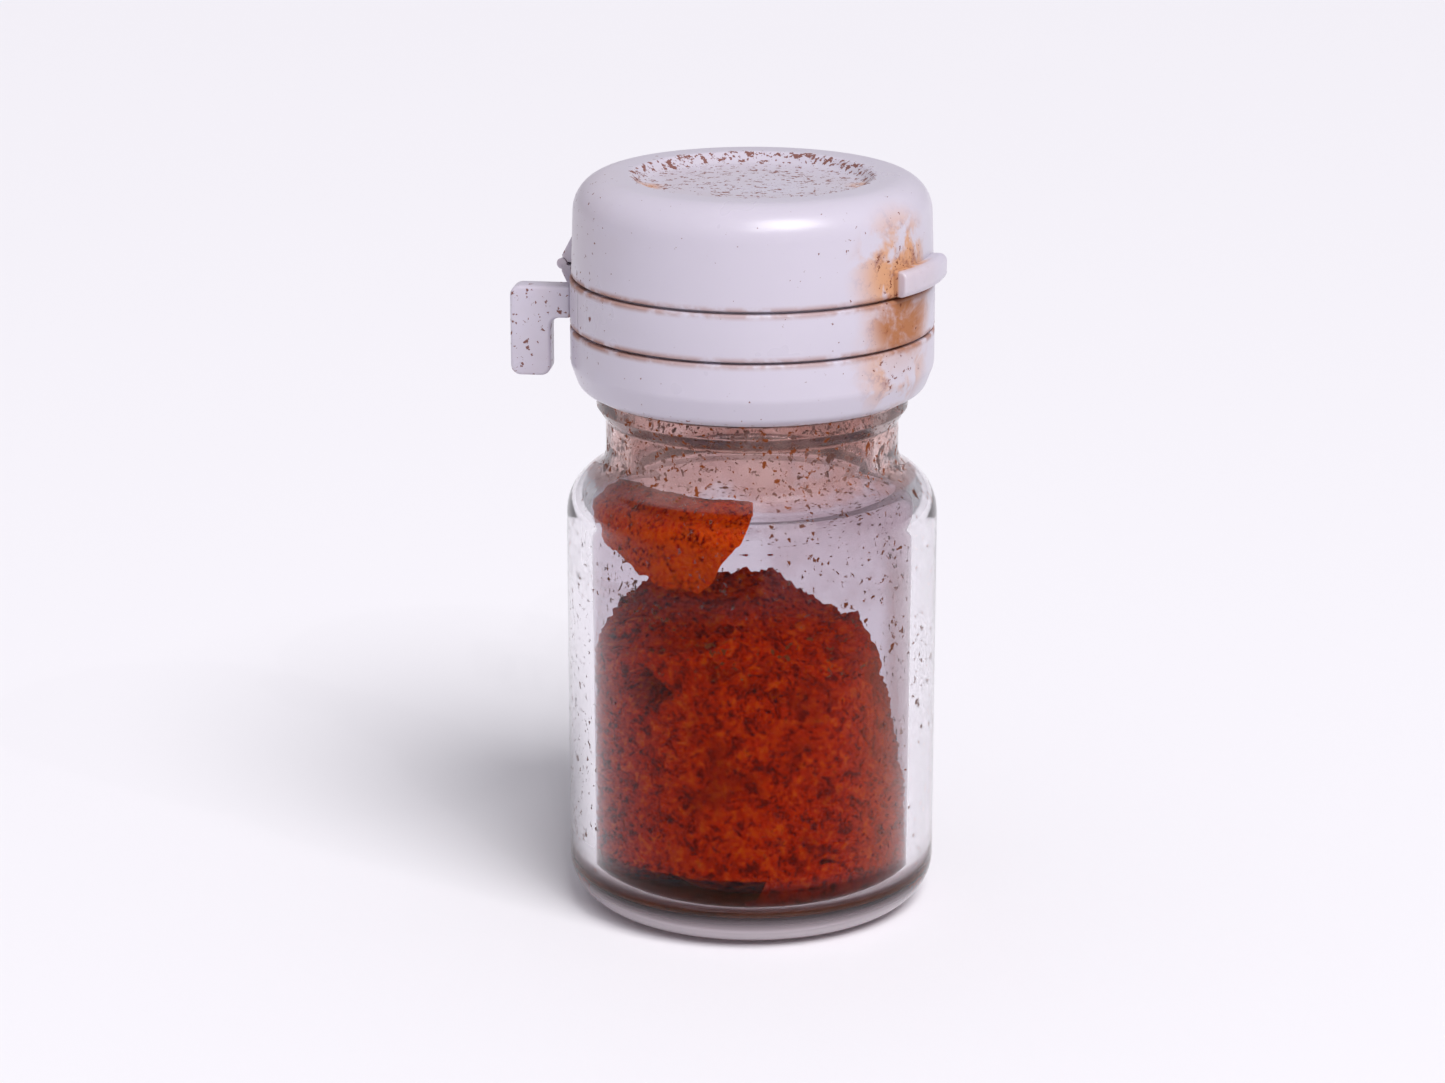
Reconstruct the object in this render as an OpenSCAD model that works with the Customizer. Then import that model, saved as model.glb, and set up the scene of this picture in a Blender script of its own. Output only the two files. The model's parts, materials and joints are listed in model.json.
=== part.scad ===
// Powder sample vial with a one-piece tear-off flip cap. Millimetres, +Z up, origin on the axis at the base.

/* [Glass] */
// Outside diameter of the glass body
vial_d = 22; // [18:0.5:28]
// Height of the straight side above the base
side_h = 24; // [18:0.5:40]
// Thickness of the glass wall
wall = 1.5; // [1.0:0.1:2.0]
// Thickness of the glass floor
floor_t = 1.65; // [1.2:0.05:2.5]
// Outside radius of the heel
heel_r = 2.7; // [1.8:0.1:3.5]
// Inside radius of the heel
inner_heel_r = 1.7; // [0.8:0.1:2.2]
// Radius of the shoulder
shoulder_r = 3; // [2.2:0.1:4]
// Radius of the fillet between shoulder and neck
fillet_r = 1.4; // [0.8:0.1:2]
// Length of the straight neck
neck_len = 1.9; // [1:0.1:4]

/* [Glass finish] */
// Diameter of the bead that the cap clips over
bead_d = 19.7; // [16:0.1:26]
// How much smaller the neck is in radius than the bead
neck_in = 1.2; // [1:0.05:1.8]
// How far the ring under the bead stands out from the neck
ring_out = 0.55; // [0.2:0.05:0.8]
// Height of the cone from the neck out to that ring
ring_h = 0.8; // [0.4:0.1:1.5]
// Height from the top of the neck up to the bead
under_h = 2.2; // [1.8:0.1:3]
// Height of the cone that the claw of the collar seats on
seat_h = 0.65; // [0.4:0.05:1]
// Height of the cylindrical part of the bead
bead_h = 1.8; // [1.2:0.1:2.4]
// Height of the cone from the bead in to the lip
step_h = 0.5; // [0.3:0.1:1]
// How much smaller the lip is in radius than the bead
lip_in = 0.65; // [0.4:0.05:1]
// Rounding of the rim
lip_round = 0.45; // [0.2:0.05:0.7]

/* [Cap] */
// Wall of the cap outside the bead
cap_wall = 0.8; // [0.6:0.05:1.4]
// Running clearance between moving fits
fit = 0.05; // [0.02:0.01:0.1]
// How far the claw of the collar reaches below the bead
claw_drop = 0.55; // [0.4:0.05:0.6]
// Height of the top of the collar above the underside of the bead
collar_top = 3.34; // [2.8:0.02:4]
// Radius that turns the bottom edge of the collar inwards
collar_round = 1.7; // [1:0.1:2]
// Width of each tear line
groove = 0.16; // [0.12:0.02:0.4]
// Chamfer on the edges of the tear lines
edge = 0.08; // [0.04:0.02:0.2]
// Height of the tear strip
strip_h = 2.74; // [2:0.02:4]
// Radial thickness of the tear strip
strip_t = 1.2; // [0.8:0.05:1.25]
// Radial thickness of the membranes behind the tear lines
membrane_t = 0.7; // [0.1:0.05:0.9]

/* [Lid] */
// Height of the lid
lid_h = 5.85; // [4.6:0.05:8]
// How much narrower the lid is than the strip at its lower edge, in radius
lid_in = 0.08; // [0:0.02:0.3]
// Draft of the lid, as the loss of radius up to the top rounding
lid_draft = 0.2; // [0:0.05:0.5]
// Rounding of the top edge of the lid
top_round = 2.1; // [1:0.1:2.6]
// Wall of the lid
lid_wall = 1.05; // [0.8:0.05:1.5]
// Thickness of the top of the lid under the dish
lid_top_t = 1.3; // [0.9:0.1:1.8]
// Radius of the dish at its rim
dish_r = 7.1; // [4:0.1:7.4]
// Depth of the dish
dish_h = 0.6; // [0.3:0.1:1]
// Width of the slope at the edge of the dish
dish_slope = 0.7; // [0.3:0.1:1.5]
// How far the rim of the glass stays below the lower edge of the lid
rim_drop = 0.7; // [0.4:0.05:1.2]

/* [Plug seal] */
// How far the plug reaches into the bore
plug_in = 2; // [1.2:0.1:2.4]
// Wall of the plug
plug_wall = 1.2; // [0.8:0.1:1.8]
// Taper of the plug in radius, which lets it swing out of the bore
plug_taper = 0.22; // [0.18:0.02:0.4]
// Length of the plug's full-width seal band below the rim
plug_band = 0.4; // [0.2:0.1:0.6]
// Chamfer at the tip of the plug
plug_tip = 0.25; // [0.15:0.05:0.4]

/* [Thumb ledge] */
// How far the ledge stands out from the strip
ledge_out = 0.85; // [0.5:0.05:1.5]
// Height of the ledge
ledge_h = 1.6; // [1:0.1:2.2]
// Rounding of the outer edges of the ledge
ledge_round = 0.45; // [0.2:0.05:0.6]
// Bearing where the ledge starts, from the front, positive to the right
ledge_from = 49; // [20:1:60]
// Bearing where the ledge ends
ledge_to = 80; // [70:1:110]

/* [Hinge] */
// Bearing of the hinge, from the front, positive to the right
hinge_at = -114; // [-118:1:-112]
// Angle that the hinge strap takes out of the tear strip
strap_a = 23; // [18:0.5:26]
// How far the hinge axis stands out from the tear strip
hinge_out = 0.75; // [0.65:0.05:1]
// Radius of the round film on the hinge axis
film_r = 0.32; // [0.2:0.02:0.4]
// Length of the film hinge, as a share of the width of the strap
film_share = 0.94; // [0.7:0.01:0.96]
// Height of the two gussets that carry the film
gusset_h = 1.9; // [1.2:0.1:2.4]

/* [Pull tab] */
// Gap along the cap between the hinge strap and the pull tab
tab_gap = 0.24; // [0.2:0.02:1]
// Bearing of the fold where the leader meets the rest of the strip
fold_at = -72; // [-80:1:-50]
// Thickness of the tab
tab_t = 1.6; // [1:0.1:2]
// How far the tab reaches out from the strip
tab_out = 3.6; // [3:0.1:5]
// Width of the hanging leg of the tab
tab_leg_w = 2.4; // [1.6:0.1:3]
// Height of the arm of the tab
tab_arm_h = 1.9; // [1.4:0.1:2.3]
// Length of the tab from its top to the end of the leg
tab_len = 5.4; // [4:0.1:7]
// Rounding of the corners of the tab
tab_round = 0.6; // [0.3:0.1:1]

/* [Powder] */
// Height of the powder at the left wall
heap_left = 18.3; // [8:0.1:20]
// Height of the powder at its peak
heap_peak = 19.9; // [10:0.1:22]
// Height of the powder where the right side breaks away
heap_break = 17.5; // [8:0.1:20]
// Width of the hollow left in front at the foot of the cake
hollow_w = 2.8; // [1:0.1:4]
// Height of that hollow above the floor
hollow_h = 2.4; // [1:0.1:4]
// Thickness of the clump stuck to the shoulder
clump_t = 1; // [0.5:0.1:2]
// Height of that clump
clump_h = 4.3; // [2:0.1:5]
// Bearing where that clump starts
clump_from = -72; // [-120:1:-20]
// Bearing where that clump ends
clump_to = -2; // [-10:1:60]

/* [Hidden] */
$fn = 96;
eps = 0.02;
// the worn right slope of the cake: shares of the inner radius and of heap_break
slope_r = [0.72, 0.84, 0.93];
slope_z = [0.76, 0.55, 0.42];
// clearances of the claw against the bead, each a multiple of the fit
claw_fit = 1.5 * fit;
lip_fit = 2 * fit;
bead_top_fit = 1.4 * fit;
// how far the strap and the lug reach past the hinge film
strap_reach = 1.4 * film_r;
lug_reach = 1.6 * film_r;
// how far the loose powder stops short of the outside of the glass
wall_cut = 1.5 * wall;
body_r = vial_d / 2;
bead_r = bead_d / 2;
neck_r = bead_r - neck_in;
bore_r = neck_r - wall;
lip_r = bead_r - lip_in;
ring_r = neck_r + ring_out;
// centres of the shoulder and of the fillet that is tangent to it
blend_in = [body_r - shoulder_r, side_h];
blend_dx = neck_r + fillet_r - blend_in[0];
blend_out = [neck_r + fillet_r, side_h + sqrt(pow(shoulder_r + fillet_r, 2) - pow(blend_dx, 2))];
neck_z = blend_out[1] + neck_len;
bead_z = neck_z + under_h;
cap_r = bead_r + fit + cap_wall;
collar_z = bead_z - claw_drop;
strip_z = bead_z + collar_top + groove;
lid_z = strip_z + strip_h + groove;
lid_r = cap_r - lid_in;
top_z = lid_z + lid_h;
ceil_z = top_z - dish_h - lid_top_t;
rim_z = lid_z - rim_drop;
plug_r = bore_r - fit;
strip_in_r = cap_r - strip_t;
hinge_r = cap_r + hinge_out;
hinge_z = lid_z - groove / 2;
film_w = 2 * cap_r * sin(strap_a / 2) * film_share;
tab_at = hinge_at + strap_a / 2 + (tab_gap + tab_t / 2) / cap_r * 180 / PI;
gap_a = groove / cap_r * 180 / PI;
fit_a = fit / cap_r * 180 / PI;
seat_slope = (bead_r - ring_r) / seat_h;
glass_c = [0.86, 0.88, 0.93, 0.4];
cap_c = [0.93, 0.93, 0.96];
powder_c = [0.62, 0.25, 0.1];

// height of the collar's inner shoulder over the bead, at radius r
function over_bead(r) = bead_z + bead_h + (bead_r - r) * step_h / lip_in + bead_top_fit;

module body_2d(t, z, corner) {
  translate([0, z + corner]) square([body_r - t, side_h - z - corner]);
  translate([0, z]) square([body_r - t - corner, corner]);
  translate([body_r - t - corner, z + corner]) circle(r = corner);
}

module blend_2d(t) {
  translate(blend_in) circle(r = shoulder_r - t);
  difference() {
    polygon([[0, side_h], blend_in, blend_out, [0, blend_out[1]]]);
    translate(blend_out) circle(r = fillet_r + t);
  }
}

module inside_2d() {
  body_2d(wall, floor_t, inner_heel_r);
  blend_2d(wall);
}

module finish_2d() {
  polygon([[0, blend_out[1]], [neck_r, blend_out[1]], [neck_r, neck_z], [ring_r, neck_z + ring_h],
           [ring_r, bead_z - seat_h], [bead_r, bead_z], [bead_r, bead_z + bead_h],
           [lip_r, bead_z + bead_h + step_h], [lip_r, rim_z - lip_round], [0, rim_z - lip_round]]);
  translate([0, rim_z - lip_round]) square([lip_r - lip_round, lip_round]);
  translate([lip_r - lip_round, rim_z - lip_round]) circle(r = lip_round);
}

// a ring sector between two bearings
module sector(from, to) {
  rotate([0, 0, from - 90]) rotate_extrude(angle = to - from) children();
}

// a profile in the plane of the hinge, x outwards from the hinge axis, as wide as the film
module hinge_prism() {
  rotate([0, 0, hinge_at - 90]) translate([hinge_r, 0, hinge_z]) rotate([90, 0, 0])
    linear_extrude(height = film_w, center = true) children();
}

module strip_2d(z, h) {
  polygon([[strip_in_r, z], [cap_r - edge, z], [cap_r, z + edge], [cap_r, z + h - edge],
           [cap_r - edge, z + h], [strip_in_r, z + h]]);
}

module lid_outer_2d() {
  polygon([[0, lid_z], [lid_r - edge, lid_z], [lid_r, lid_z + edge],
           [lid_r - lid_draft, top_z - top_round], [0, top_z - top_round]]);
  translate([0, top_z - top_round]) square([lid_r - lid_draft - top_round, top_round]);
  translate([lid_r - lid_draft - top_round, top_z - top_round]) circle(r = top_round);
}

module glass_vial() color(glass_c) {
  rotate_extrude() difference() {
    union() { body_2d(0, 0, heel_r); blend_2d(0); finish_2d(); }
    inside_2d();
    translate([0, blend_out[1]]) square([bore_r, rim_z]);
  }
}

// the wedge left empty in front at the foot of the cake, between two x positions
module hollow(from, to) {
  translate([from, 0, 0]) rotate([90, 0, 90]) linear_extrude(height = to - from)
    polygon([[-body_r, 0], [-body_r, floor_t + hollow_h + hollow_w * 0.5],
             [wall - body_r, floor_t + hollow_h], [wall - body_r + hollow_w, floor_t],
             [wall - body_r + hollow_w, 0]]);
}

module powder_cake() color(powder_c) {
  inner_r = body_r - wall;
  difference() {
    intersection() {
      rotate_extrude() body_2d(wall + fit, floor_t, inner_heel_r);
      rotate([90, 0, 0]) linear_extrude(height = vial_d, center = true)
        polygon([[-inner_r, 0], [-inner_r, heap_left], [0, heap_peak], [inner_r * slope_r[0], heap_break],
                 [inner_r * slope_r[1], heap_break * slope_z[0]],
                 [inner_r * slope_r[2], heap_break * slope_z[1]],
                 [inner_r, heap_break * slope_z[2]], [inner_r, 0]]);
    }
    hollow(-inner_r, inner_r);
  }
}

module powder_loose() color(powder_c) {
  intersection() {
    rotate_extrude() body_2d(wall + fit, floor_t, inner_heel_r);
    hollow(wall, body_r - wall_cut);
  }
}

module powder_clump() color(powder_c) {
  sector(clump_from, clump_to) intersection() {
    difference() { inside_2d(); translate([-clump_t, 0]) inside_2d(); }
    translate([0, side_h + shoulder_r - wall / 2 - clump_h]) square([body_r, clump_h]);
  }
}

module collar() color(cap_c) {
  rotate_extrude() difference() {
    union() {
      translate([0, collar_z + collar_round])
        square([cap_r, strip_z - groove - edge - collar_z - collar_round]);
      polygon([[0, strip_z - groove - edge], [cap_r, strip_z - groove - edge],
               [cap_r - edge, strip_z - groove],
               [0, strip_z - groove]]);
      translate([0, collar_z]) square([cap_r - collar_round, collar_round]);
      translate([cap_r - collar_round, collar_z + collar_round]) circle(r = collar_round);
    }
    polygon([[0, 0], [bead_r + claw_fit - claw_drop * seat_slope, 0],
             [bead_r + claw_fit - claw_drop * seat_slope, collar_z],
             [bead_r + fit, bead_z - fit / 2 / seat_slope], [bead_r + fit, over_bead(bead_r + fit)],
             [lip_r + lip_fit, over_bead(lip_r + lip_fit)], [lip_r + lip_fit, top_z], [0, top_z]]);
  }
}

module tear_strip() color(cap_c) {
  sector(fold_at + fit_a, hinge_at + 360 - strap_a / 2 - gap_a) strip_2d(strip_z, strip_h);
}

module lower_membrane() color(cap_c) {
  sector(fold_at + fit_a, hinge_at + 360 - strap_a / 2 - gap_a)
    translate([strip_in_r, strip_z - groove]) square([membrane_t, groove]);
}

module upper_membrane() color(cap_c) {
  sector(fold_at + fit_a, hinge_at + 360 - strap_a / 2 - gap_a)
    translate([strip_in_r, strip_z + strip_h]) square([membrane_t, groove - fit]);
}

module hinge_strap() color(cap_c) {
  sector(hinge_at - strap_a / 2, hinge_at + strap_a / 2)
    translate([strip_in_r, strip_z - groove]) square([strip_t - edge, strip_h + groove]);
  difference() {
    hinge_prism() polygon([[-hinge_out - strip_t / 2, -groove / 2], [-film_r / 2, -groove / 2],
                           [0, -film_r], [0, -strap_reach],
                           [-hinge_out, -gusset_h], [-hinge_out - strip_t / 2, -gusset_h]]);
    cylinder(r = cap_r - edge, h = top_z);
    hinge_prism() circle(r = film_r);
  }
}

module film_hinge() color(cap_c) {
  hinge_prism() circle(r = film_r);
}

module lid() color(cap_c) {
  rotate_extrude() difference() {
    lid_outer_2d();
    polygon([[0, top_z - dish_h], [dish_r - dish_slope, top_z - dish_h], [dish_r, top_z],
             [dish_r, top_z + eps], [0, top_z + eps]]);
    polygon([[0, 0], [lid_r - lid_wall, 0], [lid_r - lid_wall, lid_z],
             [lid_r - lid_draft - lid_wall, ceil_z - lid_wall], [lid_r - lid_draft - 2 * lid_wall, ceil_z],
             [0, ceil_z]]);
  }
  difference() {
    hinge_prism() polygon([[-hinge_out - lid_wall / 2, groove / 2], [-film_r / 2, groove / 2],
                           [0, film_r], [0, lug_reach], [-hinge_out, gusset_h],
                           [-hinge_out - lid_wall / 2, gusset_h]]);
    cylinder(r = lid_r - lid_wall / 2, h = top_z);
    hinge_prism() circle(r = film_r + fit);
  }
}

module thumb_ledge() color(cap_c) {
  difference() {
    sector(ledge_from, ledge_to) {
      translate([lid_r - lid_draft, lid_z + edge])
        square([ledge_out + lid_draft - ledge_round, ledge_h - edge]);
      translate([lid_r + ledge_out - ledge_round, lid_z + edge + ledge_round])
        square([ledge_round, ledge_h - edge - 2 * ledge_round]);
      translate([lid_r + ledge_out - ledge_round, lid_z + edge + ledge_round]) circle(r = ledge_round);
      translate([lid_r + ledge_out - ledge_round, lid_z + ledge_h - ledge_round]) circle(r = ledge_round);
    }
    rotate_extrude() lid_outer_2d();
  }
}

module plug_seal() color(cap_c) {
  tip_z = rim_z - plug_in;
  rotate_extrude()
    polygon([[plug_r - plug_wall, ceil_z], [plug_r - plug_wall, tip_z + plug_tip],
             [plug_r - plug_wall + plug_tip, tip_z], [plug_r - plug_taper - plug_tip, tip_z],
             [plug_r - plug_taper, tip_z + plug_tip], [plug_r, rim_z - plug_band], [plug_r, ceil_z]]);
}

module strip_leader() color(cap_c) {
  sector(hinge_at + strap_a / 2 + gap_a, fold_at) strip_2d(strip_z, strip_h);
}

module pull_tab() color(cap_c) {
  outer = cap_r + tab_out;
  leg = outer - tab_leg_w;
  top = strip_z + tab_arm_h;
  difference() {
    rotate([0, 0, tab_at - 90]) rotate([90, 0, 0]) linear_extrude(height = tab_t, center = true) union() {
      translate([cap_r - tab_round, strip_z]) square([leg - cap_r + tab_round * 2, tab_arm_h]);
      translate([leg, top - tab_arm_h]) square([tab_leg_w, tab_arm_h - tab_round]);
      translate([leg, top - tab_len + tab_round]) square([tab_leg_w, tab_len - tab_round * 2]);
      translate([leg, top - tab_round]) square([tab_leg_w - tab_round, tab_round]);
      translate([leg + tab_round, top - tab_len]) square([tab_leg_w - tab_round * 2, tab_round]);
      translate([outer - tab_round, top - tab_round]) circle(r = tab_round);
      translate([outer - tab_round, top - tab_len + tab_round]) circle(r = tab_round);
      translate([leg + tab_round, top - tab_len + tab_round]) circle(r = tab_round);
      difference() {
        translate([leg - tab_round, strip_z - tab_round]) square([tab_round, tab_round]);
        translate([leg - tab_round, strip_z - tab_round]) circle(r = tab_round);
      }
    }
    cylinder(r = cap_r, h = top_z);
  }
}

glass_vial();
powder_cake();
powder_loose();
powder_clump();
collar();
tear_strip();
lower_membrane();
upper_membrane();
hinge_strap();
film_hinge();
lid();
thumb_ledge();
plug_seal();
strip_leader();
pull_tab();
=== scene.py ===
"""A glass sample vial of caked powder under a white tear-off flip cap, built on its CAD frame."""
import json
import math
import random

import bmesh
import bpy
from mathutils import Matrix, Vector, noise


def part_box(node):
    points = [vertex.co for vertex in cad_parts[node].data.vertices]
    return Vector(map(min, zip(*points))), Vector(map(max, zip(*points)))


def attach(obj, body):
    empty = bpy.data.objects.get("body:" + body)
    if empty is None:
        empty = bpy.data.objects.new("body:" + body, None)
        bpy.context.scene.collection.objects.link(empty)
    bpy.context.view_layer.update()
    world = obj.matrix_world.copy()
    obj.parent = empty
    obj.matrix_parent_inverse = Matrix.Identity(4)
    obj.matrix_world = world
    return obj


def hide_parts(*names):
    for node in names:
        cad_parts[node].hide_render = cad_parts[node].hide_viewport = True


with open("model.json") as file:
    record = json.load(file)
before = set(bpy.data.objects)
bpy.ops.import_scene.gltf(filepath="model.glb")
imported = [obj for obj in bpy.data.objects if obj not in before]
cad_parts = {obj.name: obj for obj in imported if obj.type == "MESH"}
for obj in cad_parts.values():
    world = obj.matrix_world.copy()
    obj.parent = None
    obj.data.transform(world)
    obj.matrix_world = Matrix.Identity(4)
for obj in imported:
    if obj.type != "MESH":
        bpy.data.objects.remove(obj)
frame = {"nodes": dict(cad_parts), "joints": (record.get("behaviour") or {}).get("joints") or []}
FRAME_MATERIALS = set(bpy.data.materials.keys())

bl_info = {
    "name": "Powder Sample Vial",
    "version": (1, 0, 0),
    "blender": (4, 5, 0),
    "location": "3D View > Sidebar > Vial",
    "description": "Builds a glass powder vial with a tear-off flip cap on its CAD frame",
    "category": "Object",
}

MM = 0.001
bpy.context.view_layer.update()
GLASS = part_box("glass_vial")
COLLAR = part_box("collar")
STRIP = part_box("tear_strip")
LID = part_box("lid")
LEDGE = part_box("thumb_ledge")
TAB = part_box("pull_tab")
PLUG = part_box("plug_seal")
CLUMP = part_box("powder_clump")
BODY_R = GLASS[1].x
RIM_Z = GLASS[1].z
CAP_R = COLLAR[1].x
GROOVE_Z = [(COLLAR[1].z + STRIP[0].z) / 2, (STRIP[1].z + LID[0].z) / 2]
# bearings round the axis, in degrees from the front, positive to the right
HINGE_AT, STRAP_A, FOLD_AT, TAB_AT = -114.0, 23.0, -72.0, -96.93
LEDGE_FROM, LEDGE_TO = 49.0, 80.0


# ---------------------------------------------------------------- settings
def size(label, text, value, low=0.0, high=0.05):
    return bpy.props.FloatProperty(name=label, description=text, default=value, min=low, max=high,
                                   subtype="DISTANCE", unit="LENGTH", precision=5)


def colour(label, text, value):
    return bpy.props.FloatVectorProperty(name=label, description=text, default=value, size=3,
                                         min=0.0, max=1.0, subtype="COLOR")


def share(label, text, value):
    return bpy.props.FloatProperty(name=label, description=text, default=value, min=0.0, max=1.0,
                                   subtype="FACTOR")


class VIAL_PG_glass(bpy.types.PropertyGroup):
    """Sizes and colours of the glass."""
    wall: size("Wall", "Thickness of the glass", 1.5 * MM)
    floor: size("Floor", "Thickness of the glass floor", 1.65 * MM)
    heel: size("Heel", "Outside radius of the heel", 2.7 * MM)
    inner_heel: size("Inner heel", "Inside radius of the heel", 1.7 * MM)
    shoulder: size("Shoulder", "Radius of the shoulder", 3.0 * MM)
    fillet: size("Fillet", "Radius between shoulder and neck", 1.4 * MM)
    side: size("Side", "Height where the straight side ends", 24.0 * MM)
    neck: size("Neck", "Outside radius of the neck", 8.65 * MM)
    tint: colour("Tint", "Colour of the glass", (0.89, 0.87, 0.90))
    inner: colour("Inside", "Colour of the dulled inner surface", (0.66, 0.60, 0.66))
    dust: colour("Dust", "Colour of the specks on the glass", (0.20, 0.050, 0.016))


class VIAL_PG_cap(bpy.types.PropertyGroup):
    """Sizes and colours of the cap."""
    wall: size("Lid wall", "Thickness of the lid's side", 1.05 * MM)
    top_round: size("Top rounding", "Rounding of the lid's top edge", 2.1 * MM)
    dish: size("Dish", "Radius of the dish in the lid", 7.1 * MM)
    dish_depth: size("Dish depth", "Depth of the dish", 0.6 * MM)
    edge: size("Edge rounding", "Rounding of the moulded edges", 0.1 * MM)
    tab: size("Tab thickness", "Thickness of the pull tab", 1.6 * MM)
    plastic: colour("Plastic", "Colour of the clean plastic", (0.565, 0.525, 0.605))
    stain: colour("Stain", "Colour where powder has stained the plastic", (0.58, 0.26, 0.085))
    specks: colour("Specks", "Colour of the dark dust specks", (0.16, 0.035, 0.012))


class VIAL_PG_powder(bpy.types.PropertyGroup):
    """Colours and grain of the powder."""
    # the dark colour is painted shade in the low spots between the clots, and also darkens broad patches at
    # random
    dark: colour("Dark", "Colour in the pits", (0.20, 0.0045, 0.0002))
    middle: colour("Middle", "Main colour", (0.78, 0.0300, 0.0004))
    light: colour("Light", "Colour of the loose grains", (0.98, 0.1250, 0.0020))
    worn: colour("Worn", "Colour of the thin side", (0.80, 0.2200, 0.0400))
    grain: size("Grain", "Height of the grain on the surface", 0.16 * MM, high=0.001)
    gap: size("Gap", "Gap between the powder and the glass", 0.04 * MM, high=0.001)


class VIAL_PG_stage(bpy.types.PropertyGroup):
    """Camera, floor and light."""
    distance: size("Distance", "Camera distance", 0.2475, high=2.0)
    elevation: bpy.props.FloatProperty(name="Elevation", description="Camera height angle",
                                       default=math.radians(16.0), subtype="ANGLE", unit="ROTATION")
    lens: bpy.props.FloatProperty(name="Lens", description="Focal length in millimetres", default=103.4,
                                  min=20, max=300, unit="CAMERA")
    key: bpy.props.FloatProperty(name="Key", description="Strength of the broad main light",
                                 default=2.5, min=0)
    floor: colour("Floor", "Colour of the floor", (0.86, 0.85, 0.875))
    world: share("World", "Strength of the even light all round", 0.46)


# ---------------------------------------------------------------- geometry helpers
def bearing(deg):
    """Unit vector at a bearing."""
    a = math.radians(deg)
    return Vector((math.sin(a), -math.cos(a), 0.0))


def rounded(points, steps=8):
    """An outline through (r, z, corner radius) points, with each corner turned into an arc."""
    out = []
    for i, (r, z, rad) in enumerate(points):
        p = Vector((r, z))
        if rad <= 0 or i in (0, len(points) - 1) and rad <= 0:
            out.append(p)
            continue
        a = Vector(points[i - 1][:2]) - p
        b = Vector(points[(i + 1) % len(points)][:2]) - p
        a.normalize()
        b.normalize()
        half = a.angle(b) / 2
        cut = rad / math.tan(half)
        centre = p + (a + b).normalized() * (rad / math.sin(half))
        start, end = p + a * cut - centre, p + b * cut - centre
        turn = start.angle_signed(end)
        for k in range(steps + 1):
            v = start.copy()
            v.rotate(Matrix.Rotation(-turn * k / steps, 2))
            out.append(centre + v)
    return out


def spin_profile(outline, closed, from_deg=0.0, to_deg=360.0, steps=192):
    """Turns an outline round Z. A closed outline over part of a turn gets its two ends filled."""
    bm = bmesh.new()
    axis_dir = bearing(from_deg)
    verts = [bm.verts.new(axis_dir * p[0] + Vector((0, 0, p[1]))) for p in outline]
    pairs = list(zip(verts, verts[1:])) + ([(verts[-1], verts[0])] if closed else [])
    edges = [bm.edges.new(p) for p in pairs]
    full = abs(to_deg - from_deg) > 359.9
    bmesh.ops.spin(bm, geom=verts + edges, cent=(0, 0, 0), axis=(0, 0, 1),
                   angle=math.radians(to_deg - from_deg), steps=steps, use_merge=full)
    bmesh.ops.remove_doubles(bm, verts=bm.verts, dist=1e-7)
    if not full:
        bmesh.ops.holes_fill(bm, edges=[e for e in bm.edges if e.is_boundary], sides=0)
    bmesh.ops.recalc_face_normals(bm, faces=bm.faces)
    return bm


def soften(bm, sharp_deg, width, segments=2):
    """Bevels the edges that turn more than sharp_deg."""
    edges = [e for e in bm.edges if len(e.link_faces) == 2 and e.calc_face_angle(0) > math.radians(sharp_deg)]
    bmesh.ops.bevel(bm, geom=edges, offset=width, segments=segments, profile=0.5, affect="EDGES",
                    material=-1, clamp_overlap=True)
    bmesh.ops.recalc_face_normals(bm, faces=bm.faces)
    return bm


def prism(outline, thickness, at_deg):
    """A flat plate in the radial plane at a bearing, from an outline of (r, z)."""
    bm = bmesh.new()
    out, side = bearing(at_deg), bearing(at_deg + 90)
    verts = [bm.verts.new(out * p[0] + Vector((0, 0, p[1])) - side * (thickness / 2)) for p in outline]
    face = bm.faces.new(verts)
    moved = bmesh.ops.extrude_face_region(bm, geom=[face])["geom"]
    bmesh.ops.translate(bm, verts=[g for g in moved if isinstance(g, bmesh.types.BMVert)],
                        vec=side * thickness)
    bmesh.ops.recalc_face_normals(bm, faces=bm.faces)
    return bm


def finished(bm, name, body, material, nodes, sharp_deg=35.0):
    """Makes the mesh an object that rides on its body and stands for its CAD nodes."""
    for f in bm.faces:
        f.smooth = True
    for e in bm.edges:
        e.smooth = not (len(e.link_faces) == 2 and e.calc_face_angle(0) > math.radians(sharp_deg))
    mesh = bpy.data.meshes.new(name)
    bm.to_mesh(mesh)
    bm.free()
    if not mesh.polygons:
        raise RuntimeError(f"{name} came out empty")
    mesh.materials.append(material)
    obj = bpy.data.objects.new(name, mesh)
    bpy.context.scene.collection.objects.link(obj)
    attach(obj, body)
    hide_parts(*nodes)
    return obj


def ramp(x, points):
    """Straight-line interpolation through (x, y) points."""
    if x <= points[0][0]:
        return points[0][1]
    for (x0, y0), (x1, y1) in zip(points, points[1:]):
        if x <= x1:
            return y0 + (y1 - y0) * (x - x0) / (x1 - x0)
    return points[-1][1]


def smooth(x, low, high):
    t = min(1.0, max(0.0, (x - low) / (high - low)))
    return t * t * (3 - 2 * t)


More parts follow.
